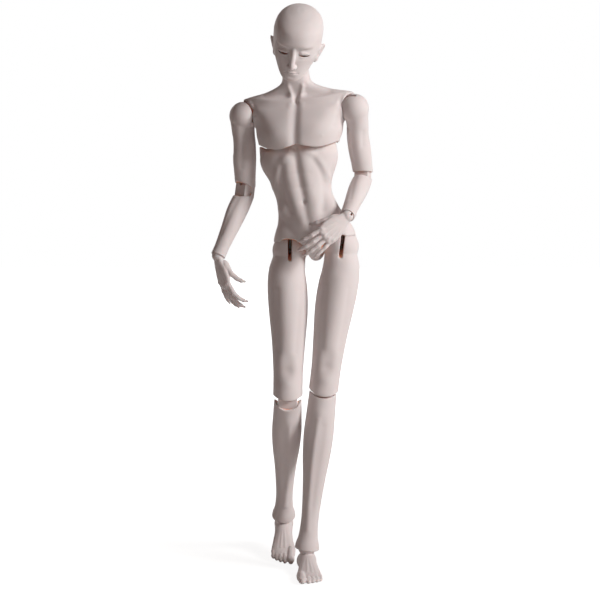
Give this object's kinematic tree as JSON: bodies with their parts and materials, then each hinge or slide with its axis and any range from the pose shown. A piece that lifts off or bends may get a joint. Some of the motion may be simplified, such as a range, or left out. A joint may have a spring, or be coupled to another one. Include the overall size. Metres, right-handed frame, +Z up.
{
  "type": "ball jointed doll",
  "caption": "Strung ball jointed adult male doll in pale matte resin, walking, unclothed and unpainted, with double hinged elbows and knees and a lift-off head cap.",
  "frame": {"origin": "on the floor, under the middle of the doll in its stance", "axes": "+Z up, the doll looks along -Y, +X towards the doll's left"},
  "size_m": [0.1992, 0.2018, 0.6976],
  "materials": {
    "resin": "matte, sanded",
    "elastic": "braided",
    "steel": "drawn wire",
    "magnet": "plated"
  },
  "bodies": {
    "lower_torso": {"lower_torso": "resin", "torso_elastic": "elastic"},
    "waist_elastic": {"waist_elastic": "elastic"},
    "chest": {"chest": "resin", "neck_cord": "elastic", "arm_cord": "elastic"},
    "neck_knot": {"neck_knot": "elastic"},
    "neck_hook": {"neck_hook": "steel", "head_bar": "steel"},
    "head": {"head": "resin", "left_head_magnet": "magnet", "right_head_magnet": "magnet"},
    "head_cap": {"head_cap": "resin", "left_cap_magnet": "magnet", "right_cap_magnet": "magnet"},
    "left_shoulder_elastic": {"left_shoulder_elastic": "elastic"},
    "left_upper_arm": {"left_upper_arm": "resin", "left_upper_arm_elastic": "elastic"},
    "left_elbow": {"left_elbow": "resin", "left_elbow_elastic": "elastic"},
    "left_forearm": {"left_forearm": "resin", "left_forearm_elastic": "elastic"},
    "left_wrist_hook": {"left_wrist_hook": "steel"},
    "left_hand": {"left_hand": "resin", "left_hand_pin": "steel"},
    "right_shoulder_elastic": {"right_shoulder_elastic": "elastic"},
    "right_upper_arm": {"right_upper_arm": "resin", "right_upper_arm_elastic": "elastic"},
    "right_elbow": {"right_elbow": "resin", "right_elbow_elastic": "elastic"},
    "right_forearm": {"right_forearm": "resin", "right_forearm_elastic": "elastic"},
    "right_wrist_hook": {"right_wrist_hook": "steel"},
    "right_hand": {"right_hand": "resin", "right_hand_pin": "steel"},
    "left_hip_elastic": {"left_hip_elastic": "elastic"},
    "left_thigh": {"left_thigh": "resin", "left_thigh_elastic": "elastic"},
    "left_knee": {"left_knee": "resin", "left_knee_elastic": "elastic"},
    "left_shin": {"left_shin": "resin", "left_shin_elastic": "elastic"},
    "left_ankle_hook": {"left_ankle_hook": "steel"},
    "left_foot": {"left_foot": "resin", "left_foot_pin": "steel"},
    "right_hip_elastic": {"right_hip_elastic": "elastic"},
    "right_thigh": {"right_thigh": "resin", "right_thigh_elastic": "elastic"},
    "right_knee": {"right_knee": "resin", "right_knee_elastic": "elastic"},
    "right_shin": {"right_shin": "resin", "right_shin_elastic": "elastic"},
    "right_ankle_hook": {"right_ankle_hook": "steel"},
    "right_foot": {"right_foot": "resin", "right_foot_pin": "steel"}
  },
  "joints": [
    {"name": "waist_bend", "type": "hinge", "parent": "lower_torso", "child": "waist_elastic", "pos_m": [0.01141, -0.01802, 0.51784], "axis": [0.9839, -0.1564, 0.0861], "range_deg": [-6, 2]},
    {"name": "waist_twist", "type": "hinge", "parent": "waist_elastic", "child": "chest", "pos_m": [0.01141, -0.01802, 0.51784], "axis": [-0.0584, 0, 0.9983], "range_deg": [-4, 4]},
    {"name": "neck_tilt", "type": "hinge", "parent": "chest", "child": "neck_knot", "pos_m": [0.00293, -0.03284, 0.62252], "axis": [0.1562, 0.9877, 0.0091], "range_deg": [-5, 5]},
    {"name": "neck_nod", "type": "hinge", "parent": "neck_knot", "child": "neck_hook", "pos_m": [0.00293, -0.03284, 0.62252], "axis": [0.9954, 0.059, -0.0755], "range_deg": [-45, 0]},
    {"name": "head_turn", "type": "hinge", "parent": "neck_hook", "child": "head", "pos_m": [0.00293, -0.03284, 0.62252], "axis": [0.0958, -0.6128, 0.7844], "range_deg": [-25, 25]},
    {"name": "left_shoulder_swing", "type": "hinge", "parent": "chest", "child": "left_shoulder_elastic", "pos_m": [0.07511, -0.03465, 0.56965], "axis": [-0.986, 0.1564, -0.0577], "range_deg": [-2, 40]},
    {"name": "left_shoulder_raise", "type": "hinge", "parent": "left_shoulder_elastic", "child": "left_upper_arm", "pos_m": [0.07511, -0.03465, 0.56965], "axis": [-0.2562, -0.8313, -0.4933], "range_deg": [0, 70]},
    {"name": "left_elbow_upper", "type": "hinge", "parent": "left_upper_arm", "child": "left_elbow", "pos_m": [0.08752, 0.00644, 0.49397], "axis": [-0.9561, 0.2932, 0.0024], "range_deg": [-5, 3]},
    {"name": "left_elbow_lower", "type": "hinge", "parent": "left_elbow", "child": "left_forearm", "pos_m": [0.08668, 0.00377, 0.48385], "axis": [-0.9561, 0.2932, 0.0024], "range_deg": [-3, 5]},
    {"name": "left_wrist_turn", "type": "hinge", "parent": "left_forearm", "child": "left_wrist_hook", "pos_m": [0.06559, -0.06462, 0.43989], "axis": [0.251, 0.8143, 0.5234], "range_deg": [-60, 60]},
    {"name": "left_wrist_bend", "type": "hinge", "parent": "left_wrist_hook", "child": "left_hand", "pos_m": [0.06559, -0.06462, 0.43989], "axis": [-0.569, -0.3133, 0.7603], "range_deg": [-8, 70]},
    {"name": "left_hip_spread", "type": "hinge", "parent": "lower_torso", "child": "left_hip_elastic", "pos_m": [0.05971, -0.03013, 0.40261], "axis": [-0.1558, -0.9877, -0.0136], "range_deg": [0, 18]},
    {"name": "left_hip_swing", "type": "hinge", "parent": "left_hip_elastic", "child": "left_thigh", "pos_m": [0.05971, -0.03013, 0.40261], "axis": [-0.9925, 0.0006, 0.1219], "range_deg": [-8, 45]},
    {"name": "left_knee_upper", "type": "hinge", "parent": "left_thigh", "child": "left_knee", "pos_m": [0.03802, -0.03105, 0.22594], "axis": [0.9925, -0.0006, -0.1219], "range_deg": [0, 46]},
    {"name": "left_knee_lower", "type": "hinge", "parent": "left_knee", "child": "left_shin", "pos_m": [0.03644, -0.03089, 0.21304], "axis": [0.9925, -0.0006, -0.1219], "range_deg": [0, 46]},
    {"name": "left_ankle_turn", "type": "hinge", "parent": "left_shin", "child": "left_ankle_hook", "pos_m": [0.018, -0.02543, 0.03], "axis": [0.0019, -0.0363, 0.9993], "range_deg": [-8, 20]},
    {"name": "left_ankle_bend", "type": "hinge", "parent": "left_ankle_hook", "child": "left_foot", "pos_m": [0.018, -0.02543, 0.03], "axis": [0.9986, 0.0523, 0], "range_deg": [-10, 20]},
    {"name": "right_shoulder_swing", "type": "hinge", "parent": "chest", "child": "right_shoulder_elastic", "pos_m": [-0.05977, -0.01325, 0.56175], "axis": [-0.986, 0.1564, -0.0577], "range_deg": [-20, 60]},
    {"name": "right_shoulder_raise", "type": "hinge", "parent": "right_shoulder_elastic", "child": "right_upper_arm", "pos_m": [-0.05977, -0.01325, 0.56175], "axis": [0.6946, 0.7098, 0.1171], "range_deg": [0, 70]},
    {"name": "right_elbow_upper", "type": "hinge", "parent": "right_upper_arm", "child": "right_elbow", "pos_m": [-0.05841, -0.00039, 0.47572], "axis": [-0.7193, 0.6887, 0.0915], "range_deg": [-12, 34]},
    {"name": "right_elbow_lower", "type": "hinge", "parent": "right_elbow", "child": "right_forearm", "pos_m": [-0.05976, -0.00042, 0.46531], "axis": [-0.7193, 0.6887, 0.0915], "range_deg": [-22, 25]},
    {"name": "right_wrist_turn", "type": "hinge", "parent": "right_forearm", "child": "right_wrist_hook", "pos_m": [-0.09129, -0.02347, 0.39094], "axis": [0.3754, 0.2744, 0.8853], "range_deg": [-60, 60]},
    {"name": "right_wrist_bend", "type": "hinge", "parent": "right_wrist_hook", "child": "right_hand", "pos_m": [-0.09129, -0.02347, 0.39094], "axis": [-0.462, 0.8835, -0.078], "range_deg": [-10, 70]},
    {"name": "right_hip_spread", "type": "hinge", "parent": "lower_torso", "child": "right_hip_elastic", "pos_m": [-0.00326, -0.02012, 0.3971], "axis": [0.1558, 0.9877, 0.0136], "range_deg": [0, 18]},
    {"name": "right_hip_swing", "type": "hinge", "parent": "right_hip_elastic", "child": "right_thigh", "pos_m": [-0.00326, -0.02012, 0.3971], "axis": [-0.9999, 0.0012, 0.0139], "range_deg": [-8, 45]},
    {"name": "right_knee_upper", "type": "hinge", "parent": "right_thigh", "child": "right_knee", "pos_m": [-0.00575, -0.03501, 0.21974], "axis": [0.9999, -0.0012, -0.0139], "range_deg": [-15, 32]},
    {"name": "right_knee_lower", "type": "hinge", "parent": "right_knee", "child": "right_shin", "pos_m": [-0.00592, -0.03271, 0.20695], "axis": [0.9999, -0.0012, -0.0139], "range_deg": [-20, 25]},
    {"name": "right_ankle_turn", "type": "hinge", "parent": "right_shin", "child": "right_ankle_hook", "pos_m": [-0.01197, 0.06535, 0.05132], "axis": [0, -0.5329, 0.8462], "range_deg": [-20, 8]},
    {"name": "right_ankle_bend", "type": "hinge", "parent": "right_ankle_hook", "child": "right_foot", "pos_m": [-0.01197, 0.06535, 0.05132], "axis": [1, 0, 0], "range_deg": [-6, 20]},
    {"name": "cap_lift", "type": "slide", "parent": "head", "child": "head_cap", "axis": [0.1156, 0.8987, 0.423], "range_m": [0, 0.03]}
  ]
}
